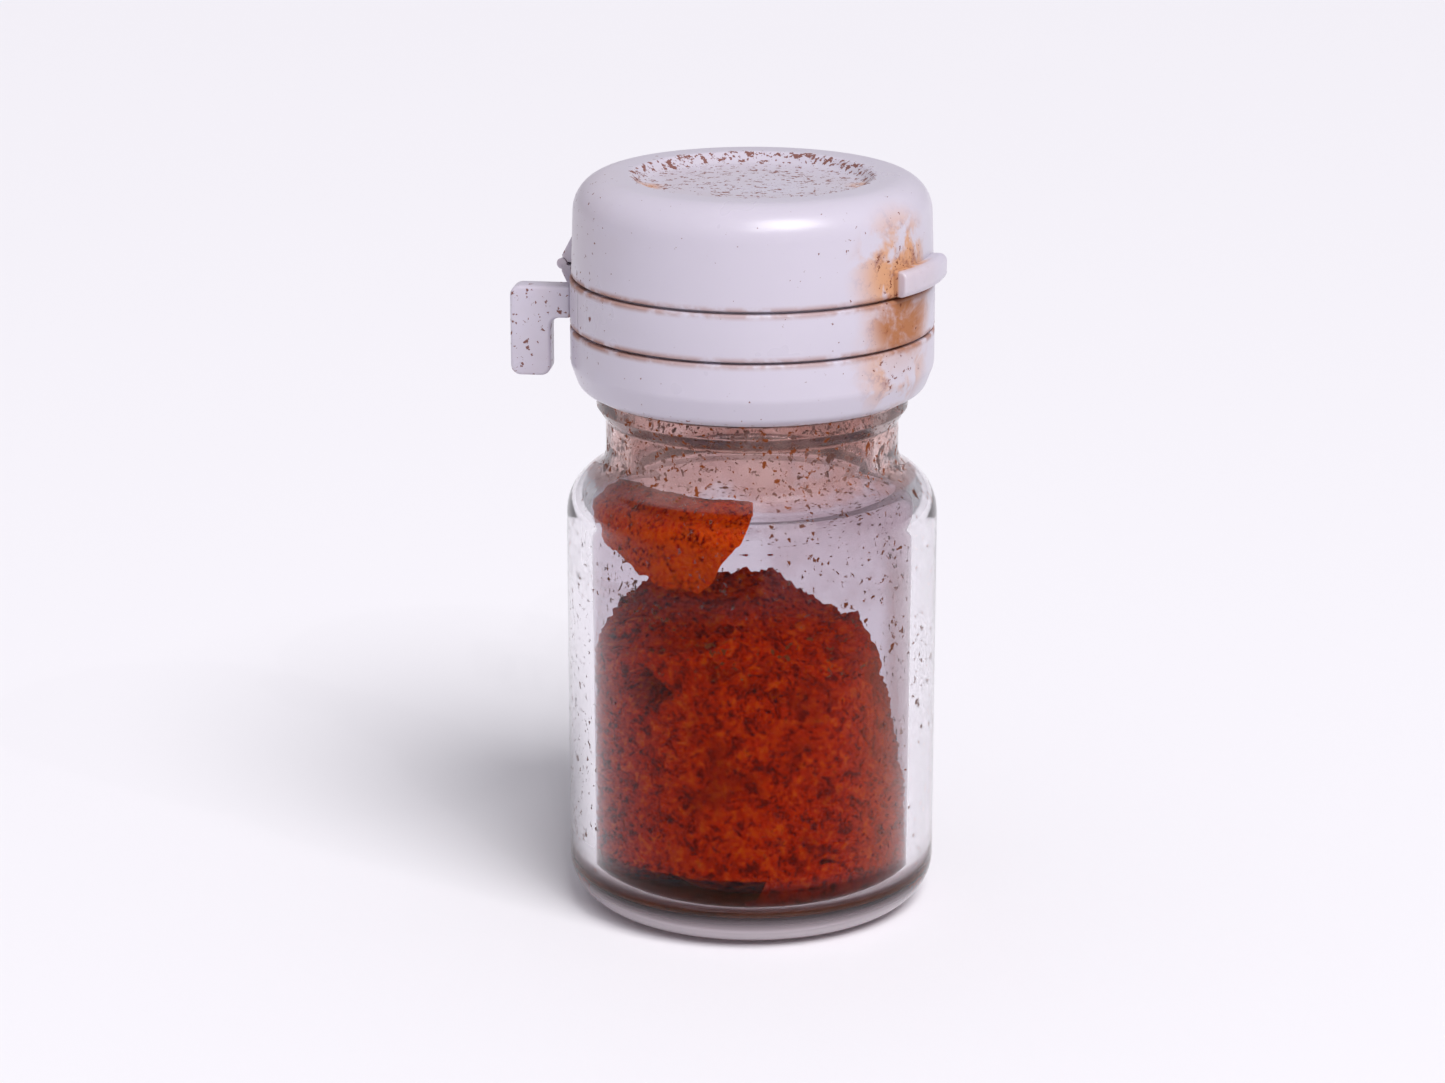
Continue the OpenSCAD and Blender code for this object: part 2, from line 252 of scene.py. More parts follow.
# ---------------------------------------------------------------- materials
class Net:
    """A short way to write a node tree that ends in one Principled shader."""

    def __init__(self, name):
        self.mat = bpy.data.materials.new(name)
        self.mat.use_nodes = True
        self.tree = self.mat.node_tree
        self.tree.nodes.clear()
        self.shader = self.tree.nodes.new("ShaderNodeBsdfPrincipled")
        out = self.tree.nodes.new("ShaderNodeOutputMaterial")
        self.tree.links.new(self.shader.outputs[0], out.inputs[0])
        self.place = self.tree.nodes.new("ShaderNodeTexCoord").outputs["Object"]
        split = self.node("ShaderNodeSeparateXYZ", {0: self.place})
        self.x, self.y, self.z = split.outputs
        self.r = self.math("SQRT", self.math("ADD", self.math("MULTIPLY", self.x, self.x),
                                             self.math("MULTIPLY", self.y, self.y)))

    def node(self, kind, sockets=None, **settings):
        n = self.tree.nodes.new(kind)
        for k, v in settings.items():
            setattr(n, k, v)
        for k, v in (sockets or {}).items():
            if isinstance(v, bpy.types.NodeSocket):
                self.tree.links.new(v, n.inputs[k])
            else:
                n.inputs[k].default_value = v
        return n

    def math(self, op, a, b=0.0, clamp=False):
        return self.node("ShaderNodeMath", {0: a, 1: b}, operation=op, use_clamp=clamp).outputs[0]

    def noise(self, scale, detail=2.0, rough=0.5, warp=0.0, where=None):
        sockets = {"Vector": where or self.place, "Scale": scale, "Detail": detail, "Roughness": rough,
                   "Distortion": warp}
        return self.node("ShaderNodeTexNoise", sockets).outputs["Fac"]

    def step(self, value, low, high, a=0.0, b=1.0):
        """Smooth step of value from low to high, giving a to b."""
        return self.node("ShaderNodeMapRange", {"Value": value, "From Min": low, "From Max": high,
                                                "To Min": a, "To Max": b},
                         interpolation_type="SMOOTHSTEP").outputs["Result"]

    def times(self, *values):
        out = values[0]
        for v in values[1:]:
            out = self.math("MULTIPLY", out, v)
        return out

    def most(self, *values):
        out = values[0]
        for v in values[1:]:
            out = self.math("MAXIMUM", out, v)
        return out

    def near(self, x, y, z, reach, soft):
        """1 within reach of a point, falling to 0 over soft."""
        apart = self.node("ShaderNodeVectorMath", {0: self.place, 1: (x, y, z)}, operation="DISTANCE")
        gap = apart.outputs["Value"]
        return self.step(gap, reach, reach + soft, 1.0, 0.0)

    def band(self, value, centre, half, soft):
        """1 where value is within half of centre, falling to 0 over soft."""
        gap = self.math("ABSOLUTE", self.math("SUBTRACT", value, centre))
        return self.step(gap, half, half + soft, 1.0, 0.0)

    def mix(self, factor, a, b):
        n = self.node("ShaderNodeMix", data_type="RGBA")
        for i, v in ((0, factor), (6, a), (7, b)):
            if isinstance(v, bpy.types.NodeSocket):
                self.tree.links.new(v, n.inputs[i])
            else:
                n.inputs[i].default_value = v if i == 0 else (*v, 1.0)
        return n.outputs[2]

    def blend(self, factor, a, b):
        return self.math("ADD", a, self.times(factor, self.math("SUBTRACT", b, a)))

    def bump(self, height, strength, distance, normal=None):
        sockets = {"Height": height, "Strength": strength, "Distance": distance}
        if normal:
            sockets["Normal"] = normal
        return self.node("ShaderNodeBump", sockets).outputs[0]

    def set(self, **sockets):
        for k, v in sockets.items():
            name = k.replace("_", " ")
            if isinstance(v, bpy.types.NodeSocket):
                self.tree.links.new(v, self.shader.inputs[name])
            elif name == "Base Color":
                self.shader.inputs[name].default_value = (*v, 1.0)
            else:
                self.shader.inputs[name].default_value = v
        return self.mat


def plastic_material(cap):
    """Glossy white moulded plastic with powder dust, stains round the ledge with painted shade under it, and
    dirt in the tear lines.
    """
    n = Net("cap_plastic")
    ledge = bearing((LEDGE_FROM + LEDGE_TO) / 2 - 13) * CAP_R
    patch = n.noise(420, 4, 0.62, 0.4)
    cloud = n.noise(150, 3, 0.6)
    fine = n.noise(2600, 3, 0.6)
    grit = n.noise(1500, 4, 0.7)
    # the stain spreads unevenly over the lid above the ledge and runs down over the strip and the collar;
    # under the ledge it turns darker brown, partly stain and partly painted shade of the ledge
    area = n.most(n.near(ledge.x, ledge.y, GROOVE_Z[1] + 0.0016, 0.0014, 0.0030),
                  n.times(n.near(ledge.x, ledge.y, GROOVE_Z[0] - 0.0006, 0.0008, 0.0036), 0.85))
    under_ledge_stain_and_shade = n.times(n.near(ledge.x * 1.03, ledge.y * 0.95, GROOVE_Z[1] - 0.0010, 0.0016, 0.0026),
                      n.step(n.z, GROOVE_Z[1], GROOVE_Z[1] - 0.0003))
    on_ledge = n.step(n.r, CAP_R + 0.0001, CAP_R + 0.00035, 1.0, 0.06)
    wash = n.times(area, n.step(patch, 0.38, 0.53), 0.85)
    run = n.times(under_ledge_stain_and_shade, n.step(patch, 0.34, 0.58, 0.35, 0.95))
    stain = n.times(n.most(wash, run), on_ledge)
    # dirt lies in both tear lines, more of it towards the sides
    sides = n.step(n.math("ABSOLUTE", n.x), 0.002, 0.0095, 0.6, 1.0)
    lines = n.most(n.band(n.z, GROOVE_Z[0], 0.00014, 0.00034), n.band(n.z, GROOVE_Z[1], 0.00014, 0.00034))
    skin = n.times(n.step(n.r, CAP_R + 0.0002, CAP_R + 0.0001), n.step(n.r, CAP_R - 0.0006, CAP_R - 0.0003))
    dirt = n.times(lines, sides, n.step(n.noise(700, 3, 0.6), 0.32, 0.56), skin)
    # loose specks on the dish floor, thinner elsewhere
    top = n.step(n.z, LID[1].z - 0.0014, LID[1].z - 0.0004)
    dish = n.times(top, n.step(n.r, 0.0074, 0.0062))
    edge_ring = n.times(top, n.band(n.r, 0.0068, 0.0002, 0.0007))
    left = n.times(n.step(n.x, -0.0055, -0.0105), 0.5)
    below = n.step(n.z, COLLAR[0].z + 0.0009, COLLAR[0].z + 0.0001)
    hanging = n.times(n.step(n.r, CAP_R + 0.0003, CAP_R + 0.0006), n.step(n.x, -0.002, -0.004))
    amount = n.most(n.times(hanging, 0.75), n.times(dish, 1.0), n.times(edge_ring, 1.15), left,
                    n.times(area, 0.7), n.times(below, 0.7), 0.16)
    level = n.math("SUBTRACT", 0.735, n.times(amount, 0.155))
    specks = n.step(n.math("SUBTRACT", fine, level), 0.0, 0.03)
    coarse = n.step(n.math("SUBTRACT", grit, n.math("ADD", level, 0.015)), 0.0, 0.025)
    specks = n.times(n.math("MAXIMUM", specks, coarse, clamp=True),
                     n.most(on_ledge, n.step(n.x, 0.002, 0.0)))
    ends = n.times(n.most(n.near(-0.0062, -0.0008, LID[1].z - 0.0012, 0.0005, 0.0011),
                          n.near(0.0063, -0.0004, LID[1].z - 0.0012, 0.0004, 0.0009)),
                   n.step(grit, 0.36, 0.56))
    stain = n.most(stain, n.times(ends, 0.9))
    haze = n.times(n.most(n.times(dish, 0.6), n.times(hanging, 0.9), left, n.times(area, 0.6)),
                   n.step(cloud, 0.35, 0.7), 0.35)
    tone = n.mix(n.step(cloud, 0.2, 0.8), tuple(cap.plastic), tuple(c * 0.97 for c in cap.plastic))
    tone = n.mix(haze, tone, (0.47, 0.33, 0.30))
    # darker brown: dark grit in the stain, and painted shade under the ledge
    deep = n.most(n.step(grit, 0.48, 0.66), n.times(under_ledge_stain_and_shade, 0.8))
    tone = n.mix(stain, tone, n.mix(deep, tuple(cap.stain), (0.30, 0.085, 0.012)))
    tone = n.mix(n.times(dirt, 0.8), tone, (0.30, 0.115, 0.055))
    tone = n.mix(n.times(specks, 0.9), tone, tuple(cap.specks))
    # stains, specks and dirt, which also carry the painted shade under the ledge
    dust_and_painted_light = n.math("MAXIMUM", n.most(stain, specks), dirt, clamp=True)
    rough = n.blend(dust_and_painted_light, n.step(n.noise(300, 2), 0.2, 0.8, 0.27, 0.30), 0.85)
    grain = n.bump(n.noise(9000, 2, 0.5), 0.10, 0.00002)
    relief = n.bump(dust_and_painted_light, 0.15, 0.00005, grain)
    return n.set(Base_Color=tone, Roughness=rough, Normal=relief, Subsurface_Weight=0.25,
                 Subsurface_Radius=(0.8, 0.75, 0.9), Subsurface_Scale=0.0012, IOR=1.51)


def glass_material(glass):
    """Clear glass with fine powder dust and specks on its inside, dirt under the bead, and painted light: a
    pale film on the outside of the heel that stands in for the light coming through it.
    """
    n = Net("clear_glass")
    fine = n.noise(2300, 3, 0.62)
    grit = n.noise(1150, 4, 0.7)
    cloud = n.noise(260, 3, 0.6)
    bore = n.step(n.r, BODY_R - 0.0011, BODY_R - 0.0014)
    inside = n.times(bore, n.step(n.z, glass.floor * 0.8, glass.floor * 0.95))
    neck = n.step(n.z, glass.side + 0.0012, glass.side + 0.0035)
    low = n.step(n.z, 0.0045, 0.0018)
    # painted light: the outside of the heel gets a pale frosted film in place of the light that comes through
    # the heel
    heel = n.times(n.step(n.z, 0.0026, 0.0008), n.step(n.r, BODY_R - 0.0045, BODY_R - 0.0030))
    crevice = n.band(n.z, RIM_Z - 0.0071, 0.0003, 0.0006)
    outer = n.step(n.r, BODY_R - 0.0004, BODY_R - 0.0001)
    amount = n.most(n.times(inside, n.step(cloud, 0.36, 0.62, 0.52, 0.92)), n.times(neck, 0.98),
                    n.times(low, inside, 0.95), n.times(crevice, 1.0),
                    n.times(outer, n.step(n.x, -0.0098, -0.0108), 0.6), n.times(outer, 0.10))
    level = n.math("SUBTRACT", 0.76, n.times(amount, 0.165))
    specks = n.math("MAXIMUM", n.step(n.math("SUBTRACT", fine, level), 0.0, 0.03),
                    n.step(n.math("SUBTRACT", grit, n.math("ADD", level, 0.01)), 0.0, 0.03), clamp=True)
    # dust does not show in front of the powder
    behind = n.times(n.step(n.z, 0.0172, 0.0160), n.step(n.math("ABSOLUTE", n.x), 0.0088, 0.0080))
    specks = n.times(specks, n.math("SUBTRACT", 1.0, n.times(behind, 0.92), clamp=True))
    air = n.step(n.z, 0.0190, 0.0220)
    # the film is powder dust on the inside, and painted light on the heel
    film = n.most(n.times(inside, air, n.step(cloud, 0.3, 0.7, 0.03, 0.09)),
                  n.times(neck, inside, n.step(cloud, 0.36, 0.64, 0.04, 0.26)),
                  n.times(inside, n.step(n.x, 0.0080, 0.0092), 0.06), n.times(low, inside, 0.30),
                  n.times(heel, 0.62))
    wetted = n.times(n.step(n.y, -0.0015, -0.0030), n.step(n.x, 0.0012, 0.0), n.step(n.z, 0.0266, 0.0260),
                     n.step(n.z, 0.0210, 0.0216))
    film = n.times(film, n.math("SUBTRACT", 1.0, n.times(wetted, 0.9), clamp=True))
    ground = n.times(n.step(n.z, 0.0025, 0.0019), n.step(n.r, BODY_R - 0.0011, BODY_R - 0.0014),
                     n.step(n.z, glass.floor * 0.8, glass.floor * 0.95))
    film = n.most(film, n.times(ground, n.step(cloud, 0.3, 0.6, 0.35, 0.8)))
    solid = n.math("MAXIMUM", specks, film, clamp=True)
    below = n.math("SUBTRACT", 1.0, air, clamp=True)
    dust_and_painted_light = n.mix(n.times(neck, 0.8), (0.50, 0.38, 0.42), (0.76, 0.50, 0.44))
    # painted light: the outside of the heel turns pale
    dust_and_painted_light = n.mix(n.times(heel, n.step(n.r, BODY_R - 0.0014, BODY_R - 0.0011)), dust_and_painted_light, (0.74, 0.66, 0.70))
    dust_and_painted_light = n.mix(n.most(specks, n.times(inside, below)), dust_and_painted_light, tuple(glass.dust))
    dust_and_painted_light = n.mix(ground, dust_and_painted_light, (0.52, 0.17, 0.07))
    dull = n.times(inside, n.math("SUBTRACT", 1.0, neck, clamp=True))
    tone = n.mix(n.step(solid, 0.0, 0.10), n.mix(dull, tuple(glass.tint), tuple(glass.inner)), dust_and_painted_light)
    clear = n.math("SUBTRACT", 1.0, solid, clamp=True)
    rough = n.times(specks, 0.8)
    ripple = n.bump(n.noise(120, 1), 0.12, 0.00006)
    n.shader.inputs["Specular Tint"].default_value = (0.08, 0.08, 0.08, 1.0)
    return n.set(Base_Color=tone, Roughness=rough, Transmission_Weight=clear, Normal=ripple, IOR=1.49)


def powder_material(powder):
    """Dry granular powder: clots and single grains, with painted shade darkening the low spots between them.
    """
    n = Net("red_powder")
    clots = n.noise(1250, 5, 0.72, 0.3)
    broad = n.noise(230, 3, 0.6)
    grain = n.node("ShaderNodeTexVoronoi", {"Vector": n.place, "Scale": 3100.0, "Randomness": 1.0},
                   feature="F1").outputs["Distance"]
    fine = n.noise(4200, 3, 0.7)
    height = n.math("SUBTRACT", n.math("ADD", fine, n.times(clots, 1.6)), n.times(grain, 0.7))
    level = n.math("ADD", n.times(clots, 0.72), n.times(fine, 0.28))
    # painted shade: the low spots of the grain, where the bump is lowest, take the dark colour
    tone = n.mix(n.step(level, 0.40, 0.52), tuple(powder.dark), tuple(powder.middle))
    tone = n.mix(n.times(n.step(level, 0.51, 0.62), 0.9), tone, tuple(powder.light))
    tone = n.mix(n.times(n.step(broad, 0.46, 0.34), 0.45), tone, tuple(powder.dark))
    worn = n.times(n.step(n.x, 0.0045, 0.0088), n.step(n.z, 0.0175, 0.0150))
    tone = n.mix(n.times(worn, 0.45), tone, tuple(powder.worn))
    stuck = n.times(n.step(n.z, 0.0212, 0.0220), n.step(fine, 0.35, 0.60))
    tone = n.mix(n.times(stuck, 0.75), tone, tuple(powder.light))
    return n.set(Base_Color=tone, Roughness=n.step(fine, 0.3, 0.7, 0.85, 1.0),
                 Normal=n.bump(height, 1.0, 0.00014), Specular_IOR_Level=0.03)


# ---------------------------------------------------------------- glass
def wall_path(g, inset, reach):
    """The side of the glass from the floor up to reach, moved inwards by inset: (r, z, corner radius)."""
    heel = g.heel if inset == 0 else g.inner_heel
    low = 0.0 if inset == 0 else g.floor + (inset - g.wall)
    rise = g.neck + g.fillet - (BODY_R - g.shoulder)
    span = g.shoulder + g.fillet
    lift = math.sqrt(span * span - rise * rise)
    # the line that touches both arcs
    tx, tz = BODY_R - g.shoulder + rise * g.shoulder / span, g.side + lift * g.shoulder / span
    nx, nz = rise / span, lift / span
    px, pz = tx - nx * inset, tz - nz * inset
    r_low, r_up = BODY_R - inset, g.neck - inset
    def on_line(r):
        return pz - (r - px) * nx / nz
    return [(0.0, low, 0), (r_low, low, heel), (r_low, on_line(r_low), g.shoulder - inset),
            (r_up, on_line(r_up), g.fillet + inset), (r_up, reach, 0)]


def glass_outline(g):
    """The whole section of the glass, from the axis under the floor round to the axis on the floor."""
    neck_top = RIM_Z - 7.9 * MM
    bead, lip, ring = BODY_R - 1.15 * MM, BODY_R - 1.8 * MM, g.neck + 0.55 * MM
    outer = wall_path(g, 0.0, neck_top)
    outer[-1] = (g.neck, neck_top, 0.4 * MM)
    outer += [(ring, neck_top + 0.8 * MM, 0.25 * MM), (ring, RIM_Z - 6.35 * MM, 0.15 * MM),
              (bead, RIM_Z - 5.7 * MM, 0.2 * MM), (bead, RIM_Z - 3.9 * MM, 0.3 * MM),
              (lip, RIM_Z - 3.4 * MM, 0.3 * MM), (lip, RIM_Z, 0.45 * MM)]
    inner = wall_path(g, g.wall, RIM_Z)
    inner[-1] = (inner[-1][0], RIM_Z, 0.4 * MM)
    return rounded(outer + inner[::-1], 10)


# ---------------------------------------------------------------- powder
def turbulence(p, scale, octaves=4):
    return noise.fractal(p * (scale / MM), 0.9, 2.0, octaves, noise_basis="PERLIN_ORIGINAL")


# the top of the heap over x, in millimetres
HEAP = [(-9.5, 16.4), (-8.8, 17.0), (-7.6, 18.0), (-6.1, 18.6), (-3.0, 18.2), (-0.7, 18.5), (1.4, 18.2),
        (2.9, 17.3), (4.7, 16.7), (6.8, 16.6), (7.4, 15.6), (8.5, 12.1), (9.1, 8.3), (9.5, 6.0)]
# deep holes in the front of the cake: x, z, reach and depth in millimetres
PITS = [(-6.1, 15.4, 1.35, 3.4), (-2.4, 16.6, 0.8, 0.9), (1.3, 15.4, 0.7, 0.8), (4.4, 4.5, 0.9, 1.6),
        (3.2, 12.0, 0.5, 0.5), (-3.5, 8.1, 0.7, 0.45), (2.9, 6.4, 0.6, 0.6)]
# the radius that the right side has worn back to, over z, in millimetres
WORN = [(6.5, 9.4), (8.3, 9.15), (10.5, 8.75), (12.5, 8.35), (15.5, 7.6), (17.5, 6.9)]


def heap_top(x, y):
    """Height of the heap, in metres."""
    fall = 0.013 * (y / MM - 1.5) ** 2 * (1.25 if y > 0 else 1.0)
    p = Vector((x, y, 0.0))
    crags = 0.75 * turbulence(p + Vector((0.3, 0, 0)), 0.33, 3) + 0.35 * turbulence(p, 1.1, 4)
    return (ramp(x / MM, HEAP) - fall + crags) * MM


def pits(v):
    """Depth of the few deep holes and cracks in the cake, in metres."""
    deep = 0.0
    for x, z, reach, depth in PITS:
        if v.y < 0:
            gap = math.hypot((v.x / MM - x) * (1.0 if x < -4 else 1.6), (v.z / MM - z)) / reach
            gap += 0.45 * turbulence(v, 1.6, 2)
            deep = max(deep, depth * (1.0 - smooth(gap, 0.45, 1.0)))
    return deep * MM


def side_radius(direction, z, limit):
    """How far the cake reaches at a height, in metres."""
    x_part = max(0.0, direction.x)
    worn = ramp(z / MM, WORN) * MM
    reach = limit - (limit - worn) * smooth(x_part, 0.35, 0.95)
    front = smooth(-direction.y, 0.15, 0.55)
    foot = max(0.0, 1.0 - (z - 1.65 * MM) / (2.45 * MM))
    return reach - 4.6 * MM * foot ** 0.55 * front


def clotting(v, big, small):
    """Height of the clots and the grains at a point, each by its share."""
    clot = noise.voronoi(v * (1.35 / MM))[0][0]
    grain = noise.voronoi(v * (3.4 / MM))[0][0]
    return big * (0.42 - clot) + small * (0.42 - grain)


def grainy(v, limit_r, floor_z, depth):
    """Moves a point of a powder surface by its grain, and keeps it inside the glass."""
    coarse = turbulence(v, 0.55, 3)
    move = depth * (0.9 * coarse + clotting(v, 2.6, 1.7) - 0.75)
    flat = Vector((v.x, v.y, 0))
    r = flat.length
    if r > 1e-9:
        flat = flat * (max(0.0, min(r + move, limit_r)) / r)
    return Vector((flat.x, flat.y, max(floor_z, v.z + move * 0.6)))


def cake_mesh(g, p):
    """The caked powder: a drum in the glass, with a craggy top, a worn side and an undercut foot."""
    limit = BODY_R - g.wall - p.gap
    floor_z = g.floor
    top_rows, side_rows, turns = 62, 118, 416
    chain = [(limit * i / top_rows, 1.0, "top", i / top_rows) for i in range(top_rows + 1)]
    chain += [(limit, 1.0, "side", i / side_rows) for i in range(1, side_rows + 1)]
    chain += [(limit * (1 - i / 10), 0.0, "foot", i / 10) for i in range(1, 11)]
    bm = bmesh.new()
    verts = [bm.verts.new((0.0, -r, i * MM)) for i, (r, _, _, _) in enumerate(chain)]
    edges = [bm.edges.new(pair) for pair in zip(verts, verts[1:])]
    bmesh.ops.spin(bm, geom=verts + edges, cent=(0, 0, 0), axis=(0, 0, 1), angle=math.tau, steps=turns,
                   use_merge=True)
    edges_at = {}
    for v in bm.verts:
        i = min(len(chain) - 1, max(0, round(v.co.z / MM)))
        r, _, kind, t = chain[i]
        flat = Vector((v.co.x, v.co.y, 0))
        d = flat.normalized() if flat.length > 1e-9 else Vector((0, -1, 0))
        key = round(math.atan2(d.x, d.y), 4)
        if key not in edges_at:
            edge_r = side_radius(d, 14 * MM, limit)
            edge = heap_top(d.x * edge_r, d.y * edge_r)
            rim = side_radius(d, edge, limit)
            edges_at[key] = (rim, heap_top(d.x * rim, d.y * rim))
        rim, top = edges_at[key]
        if kind == "top":
            at = d * (rim * t)
            z = heap_top(at.x, at.y)
            v.co = Vector((at.x, at.y, z))
        elif kind == "side":
            z = top + (floor_z - top) * t
            at = d * side_radius(d, z, limit)
            v.co = Vector((at.x, at.y, z))
        else:
            at = d * (side_radius(d, floor_z, limit) * (1 - t))
            v.co = Vector((at.x, at.y, floor_z))
        corner = g.inner_heel
        if v.co.z < floor_z + corner:
            drop = floor_z + corner - v.co.z
            most = limit - corner + math.sqrt(max(0.0, corner ** 2 - drop ** 2))
            flat = Vector((v.co.x, v.co.y, 0))
            if flat.length > most:
                flat = flat * (most / flat.length)
                v.co = Vector((flat.x, flat.y, v.co.z))
        hole = pits(v.co)
        if hole:
            flat = Vector((v.co.x, v.co.y, 0))
            flat = flat * (max(0.0, flat.length - hole) / max(flat.length, 1e-9))
            v.co = Vector((flat.x, flat.y, v.co.z))
        if kind != "foot":
            v.co = grainy(v.co, min(limit, max(flat.length, 0.0) if v.co.z < floor_z + corner else limit),
                          floor_z, p.grain)
    bmesh.ops.remove_doubles(bm, verts=bm.verts, dist=1e-7)
    bmesh.ops.recalc_face_normals(bm, faces=bm.faces)
    return bm


def patch_mesh(columns, rows, outer, inner):
    """A closed pad between two surfaces, each a function of two shares from 0 to 1."""
    bm = bmesh.new()
    bmesh.ops.create_grid(bm, x_segments=columns, y_segments=rows, size=0.5)
    base = [(v, v.co.x + 0.5, v.co.y + 0.5) for v in bm.verts]
    shares = {v.index: (u, t) for v, u, t in base}
    bm.verts.index_update()
    for v, u, t in base:
        v.co = Vector((u, t, 0))
    made = bmesh.ops.extrude_face_region(bm, geom=list(bm.faces))["geom"]
    lifted = {v for v in made if isinstance(v, bmesh.types.BMVert)}
    for v in bm.verts:
        u, t = v.co.x, v.co.y
        v.co = inner(u, t) if v in lifted else outer(u, t)
    bmesh.ops.remove_doubles(bm, verts=bm.verts, dist=1e-7)
    bmesh.ops.recalc_face_normals(bm, faces=bm.faces)
    return bm


def shoulder_radius(g, z, inset):
    """Radius of the inside of the glass at a height from the side to the neck."""
    shoulder = g.shoulder - inset
    base = BODY_R - g.shoulder
    rise = g.neck + g.fillet - base
    span = g.shoulder + g.fillet
    lift = math.sqrt(span * span - rise * rise)
    if z <= g.side:
        return BODY_R - inset
    if z <= g.side + lift * shoulder / span:
        return base + math.sqrt(max(0.0, shoulder ** 2 - (z - g.side) ** 2))
    low = g.side + lift - z
    fillet = g.fillet + inset
    return g.neck + g.fillet - math.sqrt(max(0.0, fillet ** 2 - low ** 2)) if low > 0 else g.neck - inset


# lower edge of the clump over its bearing, in millimetres
CLUMP_EDGE = [(-74, 24.9), (-68.6, 24.2), (-56, 23.4), (-45.2, 22.6), (-36, 21.9), (-28.4, 21.45),
              (-18.5, 21.6), (-13, 22.6), (-9.7, 23.5), (-4, 24.6), (-0.6, 25.4), (0, 25.5)]


def clump_mesh(g, p):
    """The clump stuck to the inside of the shoulder."""
    inset = g.wall + p.gap
    high = 26.15 * MM

    def surface(u, t, depth):
        at = -74 + 74 * u
        low = ramp(at, CLUMP_EDGE) * MM
        wob = turbulence(Vector((u * 12 * MM, 0, 0.01)), 0.9, 3) * 0.35 * MM
        z = high + (min(low + wob, high - 0.1 * MM) - high) * t
        edge = min(1.0, 6 * min(u, 1 - u, t * 0.9 + 0.08, (1 - t)) + 0.04)
        where = bearing(at) * (shoulder_radius(g, z, inset))
        at3 = Vector((where.x, where.y, z))
        clots = clotting(at3, 1.15, 0.75)
        thick = depth * edge ** 0.5 * (1.0 + 0.5 * turbulence(at3, 0.6, 3))
        if depth:
            thick += p.grain * clots
        else:
            thick = max(0.0, p.grain * (0.5 - clots) * 0.8)
        r = Vector((at3.x, at3.y, 0)).length - max(0.02 * MM if depth else 0.0, thick)
        return bearing(at) * r + Vector((0, 0, z))

    return patch_mesh(150, 70, lambda u, t: surface(u, t, 0.0), lambda u, t: surface(u, t, 1.25 * MM))


def loose_mesh(g, p):
    """Loose powder that has run into the hollow at the foot of the cake."""
    limit = BODY_R - g.wall - p.gap
    corner = g.inner_heel

    def surface(u, t, front):
        at = -3 + 75 * u
        full = smooth(u, 0.0, 0.16) * smooth(1.0 - u, 0.0, 0.12)
        high = g.floor + (0.25 + 2.9 * full) * MM
        z = g.floor + 0.02 * MM + (high - g.floor) * t
        drop = max(0.0, g.floor + corner - z)
        wall = limit - corner + math.sqrt(max(0.0, corner ** 2 - drop ** 2))
        back = wall - (0.3 + 2.0 * full * (1 - t) + 0.5 * (1 - t)) * MM
        r = wall if front else back
        point = bearing(at) * r + Vector((0, 0, z))
        rough = p.grain * (0.8 * turbulence(point, 0.8, 3) + turbulence(point, 2.6, 3))
        r = min(wall, r - abs(rough)) if front else r + rough
        return bearing(at) * r + Vector((0, 0, max(g.floor + 0.01 * MM, z + rough * t)))

    return patch_mesh(190, 40, lambda u, t: surface(u, t, True), lambda u, t: surface(u, t, False))


# ---------------------------------------------------------------- operators
def settings():
    return bpy.context.scene.vial_glass, bpy.context.scene.vial_cap, bpy.context.scene.vial_powder


def material(name, maker, group):
    """The named material, made at its first use."""
    if name in FRAME_MATERIALS:
        raise RuntimeError(f"the frame already has a material called {name}")
    return bpy.data.materials.get(name) or maker(group)


class VIAL_OT_glass(bpy.types.Operator):
    """Build the glass vial"""
    bl_idname = "vial.glass"
    bl_label = "Glass"

    def execute(self, context):
        glass, _, _ = settings()
        bm = spin_profile(glass_outline(glass), closed=False, steps=224)
        mat = material("clear_glass", glass_material, glass)
        finished(bm, "vial_glass", "vial", mat, ["glass_vial"])
        return {"FINISHED"}


class VIAL_OT_powder(bpy.types.Operator):
    """Build the cake, the loose powder and the clump"""
    bl_idname = "vial.powder"
    bl_label = "Powder"

    def execute(self, context):
        glass, _, powder = settings()
        mat = material("red_powder", powder_material, powder)
        finished(cake_mesh(glass, powder), "cake", "vial", mat, ["powder_cake"], 180)
        finished(clump_mesh(glass, powder), "stuck_clump", "vial", mat, ["powder_clump"], 180)
        finished(loose_mesh(glass, powder), "loose_powder", "vial", mat, ["powder_loose"], 180)
        return {"FINISHED"}


